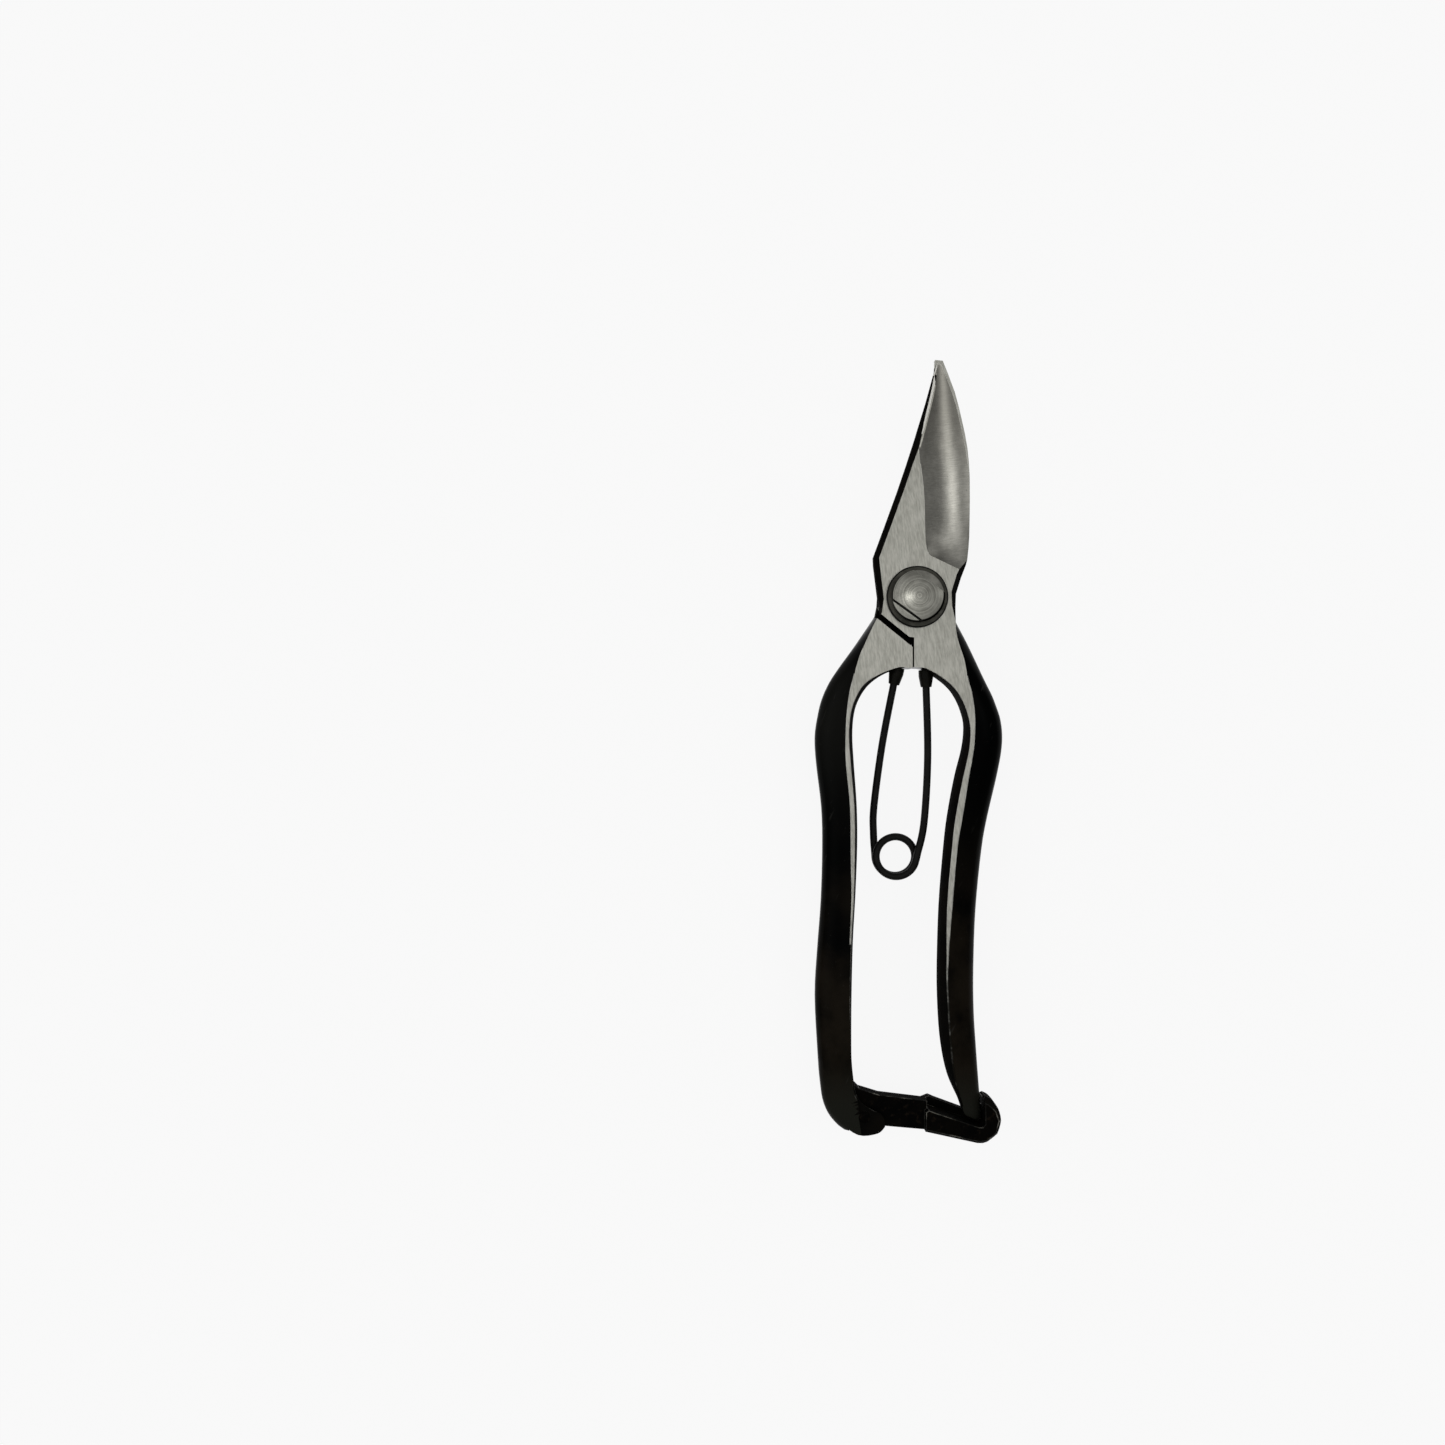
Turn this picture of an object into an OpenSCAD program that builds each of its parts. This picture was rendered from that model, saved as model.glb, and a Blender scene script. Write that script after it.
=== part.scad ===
// Forged bypass secateurs, shown shut and latched.
// Seen from the front, the cutting blade and the right handle are one forging, and the
// counter blade and the left handle are another. They lap at the pivot bolt, a hairpin
// spring between the handles opens them, and a swinging catch holds the tails together.
// Millimetres. The origin is on the pivot axis, on the flat back of the bolt and its nut.
// +Y runs to the blade tips and +Z comes out of the front face.

/* [Halves] */

// distance from the pivot to the cutting blade's tip
blade_len = 61; // [55:1:67]
// distance from the pivot to the far end of the catch, which the grips lengthen with
handle_len = 141; // [127:1:151]
// thickness of one blade layer, which is half of the handles' thickness
layer = 5; // [4.6:0.1:5.6]
// gap between the two ground lap faces
lap_gap = 0.1; // [0.06:0.02:0.2]
// gap between the closing faces of the two handles
stop_gap = 0.4; // [0.2:0.05:0.5]
// distance of the shoulder that each half gives the other, from the pivot axis
shoulder = 10.7; // [10.3:0.1:11]
// width of the clearance in front of a shoulder
shoulder_gap = 1.5; // [1.1:0.1:1.7]
// thickness left at the cutting edge
edge_left = 0.45; // [0.3:0.05:0.8]
// width of the bevel along the spine and the neck, seen from the front
bevel_w = 1.25; // [0.8:0.05:1.5]
// depth of that bevel
bevel_d = 2; // [1.2:0.1:2.6]
// how far the handles' inner walls stand out at half thickness
crown = 1.1; // [0.6:0.1:1.3]
// thickness of the counter blade at its tip
counter_tip = 2.4; // [1.8:0.1:3]

/* [Pivot] */

// diameter of the bolt's shank
shank_d = 8; // [7:0.5:8.5]
// radial clearance of the shank in the halves
shank_clear = 0.05; // [0.02:0.01:0.1]
// diameter of the bolt head's round flange
flange_d = 13.2; // [12:0.2:14]
// height of that flange
flange_h = 1.3; // [1:0.1:1.8]
// height of the domed boss above the flange
boss_h = 2.4; // [1.8:0.1:3]
// distance across the boss's two flats
boss_flats = 9; // [8:0.5:10]
// direction of the flats in the front view, in degrees
flats_turn = -36; // [-60:1:0]
// outside diameter of the washers
washer_d = 15.8; // [15:0.1:16.4]
// thickness of the front washer
washer_t = 1; // [0.8:0.1:1.4]
// thickness of the back washer
back_washer_t = 0.8; // [0.6:0.1:1.2]
// distance across the nut's flats
nut_flats = 13; // [12:0.5:14]
// height of the nut
nut_h = 4.6; // [4:0.1:6]

/* [Spring] */

// diameter of the spring wire
wire_d = 1.9; // [1.7:0.1:2]
// mean radius of the coil
coil_r = 5.1; // [4.8:0.1:5.3]
// rise of the wire over the whole coil
coil_rise = 3.8; // [3.6:0.1:4.2]
// clearance round the wire's tips in the sockets
tip_clear = 0.12; // [0.08:0.02:0.2]
// outside diameter of a socket at its mouth
mouth_d = 2.8; // [2.7:0.1:3]
// outside diameter of a socket at its seat
root_d = 3.8; // [3.4:0.1:4]
// diameter of the stem that holds a socket in its handle
stem_d = 2.4; // [2:0.1:2.6]
// radial clearance of a socket in its seat
seat_clear = 0.02; // [0.01:0.01:0.04]

/* [Catch] */

// thickness of the catch's tongue and waist
tongue_t = 4; // [3.6:0.1:4.2]
// clearance between the tongue and the cheeks of the foot, each side
tongue_gap = 0.15; // [0.1:0.05:0.3]
// diameter of the rivet
rivet_d = 3; // [2.6:0.1:3.2]
// radial clearance of the rivet in the tongue
rivet_clear = 0.06; // [0.03:0.01:0.1]
// half thickness of the catch's hooked end
hook_half = 4.5; // [4.2:0.1:4.8]
// thickness of the plate behind the tail
floor_t = 2.7; // [2.4:0.1:2.9]
// clearance between that plate and the tail
floor_gap = 0.35; // [0.25:0.05:0.5]
// how far the foot's flat cheeks reach behind the rivet's axis
cheek_back = 1; // [0.5:0.1:1.6]
// half thickness over those cheeks
foot_half = 3.6; // [3.4:0.1:3.7]
// radius of the tongue round the rivet
knuckle_r = 4; // [3.6:0.1:4.2]
// clearance round the tongue in the fork of the foot
knuckle_gap = 0.3; // [0.2:0.05:0.4]
// height of the rivet's ends above and below the middle plane
rivet_half = 3.9; // [3.8:0.1:4.2]

/* [Hidden] */

$fn = 48;
flank = 8;
wire_sides = 8;
// lengths that the outlines below are drawn for
drawn_blade = 61;
drawn_handle = 141;
lift = layer + back_washer_t + nut_h;
shank_r = shank_d / 2;
bore_r = shank_r + shank_clear;
stop_x = -0.95;
shoulder_turn = 231;
heel_r = shoulder - 0.3;
heel_box = 14;
big = 200;
tail_shift = drawn_handle - handle_len;
tail_step = -126 + tail_shift;
rivet_drawn = [-13.4, -133.8];
taper_from = 14;
cheek_turn = 10;
cheek_box = 14;
coil_at = [-4.95, -67];
coil_from = 180;
coil_to = 701;
tip_in = 2.6;
tail_back = -hook_half + floor_t + floor_gap;

// A handle is a row of stations from the head to the tail: the inner crest x and y, the outer
// side x and y, how far the ground facet reaches across, the half thickness in layers, and how
// many crowns the inner wall stands out.
cutting_stations = [
    [-1.6, -5.2, 9.95, -5.2, 0.95, 1, 0],
    [-1.6, -11, 13, -10.5, 0.82, 1, 0],
    [-1.6, -17.3, 15.5, -15.6, 0.8, 1, 0.1],
    [2.3, -18.3, 17.1, -19, 0.7, 1, 0.25],
    [6, -20.4, 18.7, -22.3, 0.56, 1, 0.5],
    [9, -22.8, 20.1, -25.1, 0.43, 1, 0.45],
    [11, -25.4, 21.2, -27.9, 0.32, 1, 0.36],
    [12.65, -29, 22.3, -31.3, 0.21, 1, 0.36],
    [13.7, -33.6, 22.8, -35.4, 0.12, 1, 0.72],
    [13.4, -39.2, 22.5, -40.1, 0.11, 1, 1.04],
    [11.85, -46.4, 21.2, -46.8, 0.14, 1, 1.35],
    [9.97, -56.3, 18.9, -56.6, 0.18, 1, 1.32],
    [9, -64.6, 17.4, -65.1, 0.145, 1, 1.36],
    [7.75, -80, 15.85, -80.7, 0.14, 1, 1.35],
    [7.65, -95.3, 15.3, -96.2, 0.03, 1, 1.72],
    [8.1, -106, 15.4, -107.1, 0.03, 0.96, 2],
    [8.8, -115.5, 16, -116.7, 0.03, 0.9, 1.95],
    [9.8, -123.6, 16.6, -124.9, 0.03, 0.8, 1.3],
    [11.6, -129.9, 17.1, -131.3, 0.05, 0.66, 0.35],
    [12.6, -133.2, 17.1, -134.3, 0.06, 0.52, 0],
    [14.4, -134.4, 16.4, -135.3, 0.08, 0.4, 0]
];
counter_stations = [
    [-0.3, -8, -9.6, -3.6, 0.97, 1, 0],
    [-0.3, -17.4, -14.7, -11.1, 0.9, 1, 0.3],
    [-4.6, -18, -16.9, -14.2, 0.82, 1, 0.5],
    [-9.4, -19.7, -19.8, -18.2, 0.62, 1, 0.95],
    [-13.5, -22.4, -22.2, -21.9, 0.37, 1, 1.4],
    [-15.75, -26, -24.1, -26.1, 0.21, 1, 1.25],
    [-17, -30, -25.2, -30.5, 0.115, 1, 1.18],
    [-17.46, -35.6, -25.95, -35.9, 0.09, 1, 1.2],
    [-17, -42.8, -25.6, -42.7, 0.13, 1, 1.13],
    [-16.05, -54, -24.25, -54.3, 0.124, 1, 0.97],
    [-15.93, -64.6, -24, -65.1, 0.126, 1, 0.97],
    [-16.2, -77, -24.4, -78.7, 0.062, 1, 0.77],
    [-16.85, -89, -25.3, -90.8, 0.04, 1, 0.77],
    [-17.2, -103, -25.95, -103, 0.04, 0.98, 0.77],
    [-16.85, -117, -25.2, -118.2, 0.04, 0.94, 0.3],
    [-16.3, -123.5, -24.6, -125.5, 0.04, 0.9, 0],
    [-15.6, -127.6, -23.6, -131.2, 0.05, 0.88, 0],
    [-14, -130.2, -21, -135.7, 0.05, 0.86, 0],
    [-11.4, -131.9, -15.5, -140, 0.05, 0.84, 0],
    [-9.2, -133, -9.9, -139.5, 0.05, 0.8, 0],
    [-8.2, -134.4, -7.8, -137.4, 0.08, 0.7, 0]
];

// The blades' edges, from the tip down.
cutting_edge = [
    [6.9, 60.7], [9.85, 53.4], [11.8, 46.1], [13.25, 39.2],
    [14.1, 32.2], [14.35, 25.8], [14, 15.8], [12.9, 8.4]
];
counter_back = [
    [7.4, 61.9], [10.5, 53.8], [12.4, 46.3], [13.8, 39.3], [14.4, 31.9], [14.3, 24.8], [13.6, 15.7], [12, 8.2]
];
counter_shear = [
    [5.4, 62.1], [5, 53], [4.8, 43.5], [4.8, 35], [4.4, 27], [3.1, 20], [0.4, 14.6], [-3.6, 11], [-8, 8.4]
];
spine = smooth([[4.7, 57.6], [2.75, 50.5], [0.75, 44], [-0.6, 39.6], [-4.6, 27.6], [-10.9, 10.4]], 2);
// Bevelled edges, as x, y and the bevel's share, with the metal on the left as the row runs.
spine_bevel = [
    for (p = spine) [p.x, p.y, 1 + 1.1 * share(p.y, 36, 56)], [-10.75, 7.8, 1], [-9.7, -0.7, 0.95],
    [-9.25, -4.3, 0.15]
];
neck_bevel = [
    [9.95, -6, 0.1], [10, -2.5, 0.8], [10.4, 1, 1.3], [11.7, 5.1, 1.35], [12.9, 8.4, 1.1], [13.6, 12, 0.1]
];
hook_bevel = [
    [2, -137.5, 0.6], [15.8, -140.55, 0.6], [18.3, -140.3, 0.6], [20.9, -138.2, 0.6],
    [21.9, -134.7, 0.6], [21.2, -131.7, 0.8], [19.4, -129.4, 1.1], [17.4, -128.4, 1.1]
];
hollow_left = [
    [3.2, 10.3], [2.3, 11.9], [2.05, 14], [1.95, 20], [1.8, 26],
    [1.3, 31], [0.5, 37.7], [0.2, 46], [0.6, 54], [1.2, 63]
];
// The same places on the side of the edge, a little outside it.
hollow_right = [
    [13.5, 5.3], [14.1, 7.6], [14.5, 11.4], [14.9, 19.2], [15, 26.8],
    [14.8, 32.4], [14, 39.5], [12.5, 47.6], [10.55, 55.2], [8.2, 64.3]
];
// How far each of those places is from the heel of the hollow.
hollow_run = [-0.35, 1.2, 3.4, 9, 15, 20, 27, 36, 44, 53];
hollow_heel = 12;
hollow_out = 1.06;

// The wire's legs from a socket to the coil, with the height as a part of half the coil's rise.
left_leg = [[-5.45, -22.6, 0], [-8.3, -38, 0.4], [-10.35, -54, 0.8], [-10.45, -61, 0.95]];
right_leg = [[0.5, -66.2, 1], [2.3, -57.9, 0.8], [3.35, -41, 0.4], [3.05, -23.3, 0]];
left_socket_at = [-5.35, -22.3];
left_socket_turn = -12;
right_socket_at = [3.05, -23];
right_socket_turn = 1;
socket_len = 4.4;

// The catch from its rivet to its hook, and the space that it swings through in the foot.
tongue_plan = [
    [-16.2, -125.3], [-14.6, -126.9], [-9.4, -128.5], [3, -130], [3, -137.5],
    [-7.3, -136.6], [-9.4, -136.4], rivet_drawn, [-17.2, -132.6]
];
floor_plan = [
    [2.2, -137], [2.2, -130.5], [4, -129.8], [5.6, -130.5], [12.7, -133.1], [15.7, -134],
    [18.4, -131], [20.4, -132.4], [20, -137.6], [17.2, -139.9], [15.8, -139.9]
];
prong_plan = [[17.9, -128.6], [19.4, -129.4], [21.2, -131.7], [21.9, -134.7], [20.9, -138.2], [17.3, -140.8]];
lip_plan = [
    [15.8, -140.6], [2.4, -137.7], [2.4, -132.4], [3.2, -131.9], [4, -132.2],
    [16, -136.2], [17, -136.2], [17.65, -135.5], [17.6, -130.2], [17.45, -129.2]
];
fork_plan = [[-15.9, -122.5], [-17.6, -133.2], [-17.1, -136.8], [-17.6, -145], [0, -145], [0, -122.5]];

function bend(a, b, c, d, t) =
    0.5 * (2 * b + (c - a) * t + (2 * a - 5 * b + 4 * c - d) * t * t + (3 * b - a - 3 * c + d) * t * t * t);
function at(v, i) = v[min(max(i, 0), len(v) - 1)];
// a smooth row through the given values, with n steps between neighbours
function smooth(v, n) = [
    for (i = [0:len(v) - 2])
        for (j = [0:n - 1])
            bend(at(v, i - 1), v[i], v[i + 1], at(v, i + 2), j / n),
    v[len(v) - 1]
];

// where a drawn point lies for the chosen lengths: only the blade's middle and the grips stretch
function share(y, from, to) = min(max((y - from) / (to - from), 0), 1);
function lie(p) = [
    p.x,
    p.y + (blade_len - drawn_blade) * share(p.y, 12, 52) + tail_shift * share(-p.y, 75, 115)
];
function lies(v) = [for (p = v) lie(p)];
function backwards(v) = [for (i = [len(v) - 1:-1:0]) v[i]];
function station(s) = concat(
    lie([s[0], s[1]]),
    lie([s[2], s[3]]),
    [s[4], s[5], crown * s[6]]
);

// one D-shaped section: a slightly crowned inner wall, the ground facets and a rounded outside
function flank_point(s, i, side) =
    let (
        start = asin(s[4]),
        f = start + (90 - start) * i / flank,
        p = [s[0], s[1]] + ([s[2], s[3]] - [s[0], s[1]]) * sin(f)
    )
    [p.x, p.y, i == flank ? 0 : side * layer * s[5] * cos(f) / cos(start)];
function ring(s) = concat(
    [for (i = [flank:-1:0]) flank_point(s, i, -1)],
    [for (f = [-1, -0.5, 0, 0.5, 1]) wall_point(s, f)],
    [for (i = [0:flank - 1]) flank_point(s, i, 1)]
);
function wall_point(s, f) =
    let (inward = [s[0] - s[2], s[1] - s[3]], p = [s[0], s[1]] + inward / norm(inward) * s[6] * (1 - f * f))
    [p.x, p.y, layer * s[5] * f];

// skin over rings of the same number of points, closed at both ends
module skin(rings) {
    n = len(rings[0]);
    m = len(rings);
    points = [for (r = rings) for (p = r) p];
    sides = [
        for (i = [0:m - 2])
            for (j = [0:n - 1])
                let (a = i * n + j, b = i * n + (j + 1) % n)
                    for (t = [[a, b, b + n], [a, b + n, a + n]]) t
    ];
    ends = [
        for (j = [1:n - 2])
            for (t = [[0, j + 1, j], [(m - 1) * n, (m - 1) * n + j, (m - 1) * n + j + 1]]) t
    ];
    polyhedron(points, concat(sides, ends));
}

// the rings run the other way round on the half that lies to the left
module handle(stations, left) {
    n = 2 * flank + 6;
    row = smooth([for (s = stations) station(s)], 4);
    skin([for (s = row) let (r = ring(s)) [for (i = [0:n - 1]) r[left ? n - 1 - i : i]]]);
}

// round wire along a path that never runs along Z
function wire_ring(path, i) =
    let (
        step = at(path, i + 1) - at(path, i - 1),
        side = [step.y, -step.x, 0] / norm([step.x, step.y]),
        up = cross(side, step) / norm(step)
    )
    [
        for (k = [0:wire_sides - 1])
            path[i] + wire_d / 2 * (side * cos(360 * k / wire_sides) + up * sin(360 * k / wire_sides))
    ];
module wire(path, from, to) {
    skin([for (i = [from:to]) wire_ring(path, i)]);
}

// the part of a plan that lies beyond a line square to a direction, at a distance from the pivot
module beyond(turn, distance) {
    rotate(turn)
        translate([distance, -big / 2])
            square([big, big]);
}

// wedge that bevels the front edge along a row, at the height z
module edge_cut(row, z) {
    over = 1;
    skin([
        for (i = [0:len(row) - 1])
            let (
                step = lie(at(row, i + 1)) - lie(at(row, i - 1)),
                inward = [-step.y, step.x] / norm(step),
                p = lie(row[i]),
                a = p + inward * (bevel_w * row[i].z + over * bevel_w / bevel_d),
                b = p - inward * over
            )
            [
                [b.x, b.y, z - bevel_d * row[i].z - over * bevel_d / bevel_w],
                [b.x, b.y, z + over],
                [a.x, a.y, z + over]
            ]
    ]);
}

// what the hollow grind takes off: depth across, times the round rise at the heel
function across(v) = 1 - pow(1 - v, 2);
function along(s) = s > hollow_heel ? 1 : 1 - pow(1 - s / hollow_heel, 2);
function hollow_depth(v, s) =
    let (a = across(v), b = along(s))
    (layer - lap_gap / 2 - edge_left) * (a > 0 && b > 0 ? a * b : min(a, b));
module hollow_cut() {
    steps = 10;
    left = smooth(lies(hollow_left), 2);
    right = smooth(lies(hollow_right), 2);
    run = smooth(hollow_run, 2);
    top = layer + 3;
    begin = -0.06;
    skin([
        for (i = [0:len(left) - 1])
            let (
                v = [for (j = [0:steps]) begin + (hollow_out - begin) * j / steps],
                p = [for (x = v) left[i] + (right[i] - left[i]) * x / hollow_out]
            )
            concat(
                [for (j = [0:steps]) [p[j].x, p[j].y, layer - hollow_depth(min(v[j], 1), run[i])]],
                [for (j = [steps, 0]) [p[j].x, p[j].y, top]]
            )
    ]);
}

// lap plate of the cutting half: blade, neck and pivot eye
module cutting_plan() {
    difference() {
        polygon(concat(
            smooth(lies(cutting_edge), 3),
            [[11.7, 5.1], [10.4, 1], [9.95, -5.4], [9.9, -9], [9.9, -12], [stop_x + stop_gap / 2, -12]],
            [[-9.2, -12], [-9.2, -3.6], [-9.7, -0.5], [-10.8, 8.3]],
            lies(backwards(spine)),
            [lie([5.7, 60.9])]
        ));
        beyond(shoulder_turn, shoulder - shoulder_gap);
        heel_corner(-1);
    }
}

// round corner of a lap plate, which clears the shoulder when the handles open
module heel_corner(side) {
    difference() {
        translate([side < 0 ? -heel_box : 0, -heel_box])
            square([heel_box, heel_box - 2.5]);
        circle(heel_r);
    }
}

// lap plate of the counter half: hooked blade, neck and pivot eye
module counter_plan() {
    difference() {
        polygon(concat(
            smooth(lies(counter_back), 2),
            [[11.2, 4.8], [10.2, 0.7], [9.8, -3.6], [9.8, -12]],
            [[stop_x - stop_gap / 2, -12], [-9.4, -9], [-9.95, -4.7]],
            [[-9.35, -1.8], [-9.2, 0.5], [-9.5, 6.8]],
            smooth(lies(backwards(counter_shear)), 2)
        ));
        beyond(180 - shoulder_turn, shoulder - shoulder_gap);
        heel_corner(1);
    }
}

// the shear edge's back bevel is widest in the hook and runs out to the neck and to the tip
function shear_share(p) = (share(p.x, -9, -2) * 1.3 + 0.1) * (1 - 0.7 * share(p.y, 38, 58));
// what thins the counter blade to its tip and bevels both of its back edges
module counter_grind() {
    taper = atan2(layer - counter_tip, blade_len - taper_from);
    translate([0, taper_from, -layer])
        rotate([taper, 0, 0])
            translate([0, -taper_from, layer]) {
                translate([-big / 2, taper_from, -layer - big])
                    cube([big, big, big]);
                mirror([0, 0, 1]) {
                    edge_cut([for (p = counter_shear) [p.x, p.y, shear_share(p)]], layer);
                    edge_cut([for (p = backwards(counter_back)) [p.x, p.y, 0.9]], layer);
                }
            }
}

// the head room that one half keeps free for the other's lap plate
module lap_room(turn, side) {
    mirror([0, 0, side > 0 ? 0 : 1])
        translate([0, 0, -lap_gap / 2])
            linear_extrude(layer + 5)
                difference() {
                    translate([-26, -20])
                        square([52, 40]);
                    beyond(turn, shoulder);
                }
}

module socket_shape(gap) {
    rotate([90, 0, 0]) {
        translate([0, 0, -socket_len - 3])
            cylinder(r = stem_d / 2 + gap, h = 3.2);
        translate([0, 0, -socket_len])
            cylinder(r = root_d / 2 + gap, h = 1.6);
    }
}
module at_left_socket() {
    translate([left_socket_at.x, left_socket_at.y, 0])
        rotate(left_socket_turn)
            children();
}
module at_right_socket() {
    translate([right_socket_at.x, right_socket_at.y, 0])
        rotate(right_socket_turn)
            children();
}
module socket() {
    difference() {
        union() {
            socket_shape(0);
            rotate([90, 0, 0])
                translate([0, 0, 1.6 - socket_len])
                    cylinder(r1 = root_d / 2, r2 = mouth_d / 2, h = socket_len - 1.6);
        }
        rotate([90, 0, 0])
            translate([0, 0, -tip_in - 0.5])
                cylinder(r = wire_d / 2 + tip_clear, h = tip_in + 1);
    }
}

// right handle, neck and cutting blade, one forging
module cutting_half() {
    color("silver")
        translate([0, 0, lift])
            difference() {
                union() {
                    difference() {
                        handle(cutting_stations, false);
                        lap_room(180 - shoulder_turn, -1);
                        translate([stop_x + stop_gap / 2 - big, -big / 2, -big / 2])
                            cube([big, big, big]);
                    }
                    translate([0, 0, lap_gap / 2])
                        linear_extrude(layer - lap_gap / 2)
                            cutting_plan();
                }
                cylinder(r = bore_r, h = big, center = true);
                hollow_cut();
                edge_cut(spine_bevel, layer);
                edge_cut(neck_bevel, layer);
                at_right_socket()
                    socket_shape(seat_clear);
                // the tail is thinned at the back, where it lies on the catch
                translate([0, tail_step - big, tail_back - big])
                    cube([big, big, big]);
            }
}

// left handle, neck and counter blade, one forging
module counter_half() {
    color("dimgray")
        translate([0, 0, lift])
            difference() {
                union() {
                    difference() {
                        handle(counter_stations, true);
                        lap_room(shoulder_turn, 1);
                        translate([stop_x - stop_gap / 2, -big / 2, -big / 2])
                            cube([big, big, big]);
                    }
                    translate([0, 0, -layer])
                        linear_extrude(layer - lap_gap / 2)
                            counter_plan();
                }
                cylinder(r = bore_r, h = big, center = true);
                counter_grind();
                at_left_socket()
                    socket_shape(seat_clear);
                // flat cheeks that are filed on the foot round the rivet
                for (side = [0, 1])
                    mirror([0, 0, side])
                        translate(concat(lie(rivet_drawn), [foot_half]))
                            rotate(cheek_turn)
                                translate([-cheek_back, -cheek_box / 2, 0])
                                    cube(cheek_box);
                // fork for the tongue of the catch, open towards the other handle
                linear_extrude(tongue_t + 2 * tongue_gap, center = true)
                    union() {
                        polygon(lies(fork_plan));
                        translate(lie(rivet_drawn))
                            circle(knuckle_r + knuckle_gap);
                    }
                translate(lie(rivet_drawn))
                    cylinder(r = rivet_d / 2, h = big, center = true);
            }
}

// round washer, dark, under the bolt's head or under the nut
module washer(t) {
    difference() {
        cylinder(r = washer_d / 2, h = t);
        translate([0, 0, -1])
            cylinder(r = bore_r, h = t + 2);
    }
}
module head_washer() {
    color("black")
        translate([0, 0, lift + layer])
            washer(washer_t);
}
module nut_washer() {
    color("black")
        translate([0, 0, lift - layer - back_washer_t])
            washer(back_washer_t);
}

// bolt with a round flange and a domed boss between two flats, dressed flush with the nut
module pivot_bolt() {
    head_z = lift + layer + washer_t;
    head_h = flange_h + boss_h;
    rim_r = flange_d / 2;
    dome_drop = 1.1;
    dome_r = (rim_r * rim_r + dome_drop * dome_drop) / (2 * dome_drop);
    color("silver")
        difference() {
            union() {
                cylinder(r = shank_r, h = head_z + 0.2);
                translate([0, 0, head_z])
                    intersection() {
                        cylinder(r = rim_r, h = head_h);
                        translate([0, 0, head_h - dome_r])
                            sphere(dome_r);
                    }
            }
            for (side = [0, 180])
                rotate(flats_turn + 90 + side)
                    translate([boss_flats / 2, -rim_r - 1, head_z + flange_h])
                        cube([rim_r, 2 * rim_r + 2, head_h]);
        }
}

// hexagon nut with its back corners turned off
module pivot_nut() {
    corner_r = nut_flats / 2 / cos(30);
    color("gray")
        difference() {
            intersection() {
                cylinder(r = corner_r, h = nut_h, $fn = 6);
                cylinder(r1 = nut_flats / 2 - 0.2, r2 = nut_flats / 2 - 0.2 + 1.8 * nut_h, h = nut_h);
            }
            translate([0, 0, -1])
                cylinder(r = shank_r + shank_clear, h = nut_h + 2);
        }
}

// turned sockets, stemmed into the arch of each handle, that take the spring's tips
module left_socket() {
    color("black")
        translate([0, 0, lift])
            at_left_socket()
                socket();
}
module right_socket() {
    color("black")
        translate([0, 0, lift])
            at_right_socket()
                socket();
}

// the wire's path: tip, leg and coil
function turned(p, turn) = [p.x * cos(turn) - p.y * sin(turn), p.x * sin(turn) + p.y * cos(turn)];
function tip_end(place, turn) = let (p = place + turned([0, tip_in], turn)) [p.x, p.y, 0];
function leg(v, side) = [for (p = v) [p.x, p.y, side * p.z * coil_rise / 2]];
coil = [
    for (i = [0:44])
        let (f = i / 44, a = coil_from + (coil_to - coil_from) * f)
        [coil_at.x + coil_r * cos(a), coil_at.y + coil_r * sin(a), (f - 0.5) * coil_rise]
];
left_path = concat(
    [tip_end(left_socket_at, left_socket_turn)],
    smooth(concat(leg(left_leg, -1), [coil[0]]), 4)
);
right_path = concat(
    smooth(concat([coil[len(coil) - 1]], leg(right_leg, 1)), 4),
    [tip_end(right_socket_at, right_socket_turn)]
);
whole_path = concat(left_path, [for (i = [1:len(coil) - 2]) coil[i]], right_path);
parting = len(left_path) - 1;
least_gap = min([
    for (i = [0:len(whole_path) - 13])
        for (j = [i + 12:len(whole_path) - 1])
            norm(whole_path[i] - whole_path[j]) - wire_d
]);
echo(least_gap_of_the_wire = least_gap);

// the spring's coil and the leg that goes up to the right handle, one unbroken wire
module spring_coil_leg() {
    color("dimgray")
        translate([0, 0, lift])
            wire(whole_path, parting, len(whole_path) - 1);
}

// the spring's other leg, which goes up to the left handle
module spring_left_leg() {
    color("dimgray")
        translate([0, 0, lift])
            wire(whole_path, 0, parting);
}

// swinging catch: tongue and waist, and a hooked end that takes the right handle's tail
module catch_arm() {
    color("black")
        translate([0, tail_shift, lift])
            difference() {
                union() {
                    linear_extrude(tongue_t, center = true)
                        union() {
                            polygon(tongue_plan);
                            translate(rivet_drawn)
                                circle(knuckle_r);
                        }
                    // plate behind the tail
                    translate([0, 0, -hook_half])
                        linear_extrude(floor_t)
                            polygon(floor_plan);
                    // raised lip and prong, all the way through
                    linear_extrude(2 * hook_half, center = true)
                        polygon(concat(smooth(prong_plan, 3), lip_plan));
                }
                translate(rivet_drawn)
                    cylinder(r = rivet_d / 2 + rivet_clear, h = big, center = true);
                translate([0, -tail_shift, 0])
                    for (side = [0, 1])
                        mirror([0, 0, side])
                            edge_cut(hook_bevel, hook_half);
            }
}

// rivet through both cheeks of the foot and the tongue, with dressed, slightly round ends
module catch_rivet() {
    color("gray")
        translate(concat(lie(rivet_drawn), [lift]))
            intersection() {
                cylinder(r = rivet_d / 2, h = big, center = true);
                sphere(rivet_half);
            }
}

cutting_half();
counter_half();
pivot_bolt();
head_washer();
nut_washer();
pivot_nut();
left_socket();
right_socket();
spring_coil_leg();
spring_left_leg();
catch_arm();
catch_rivet();
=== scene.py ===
import math

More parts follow.
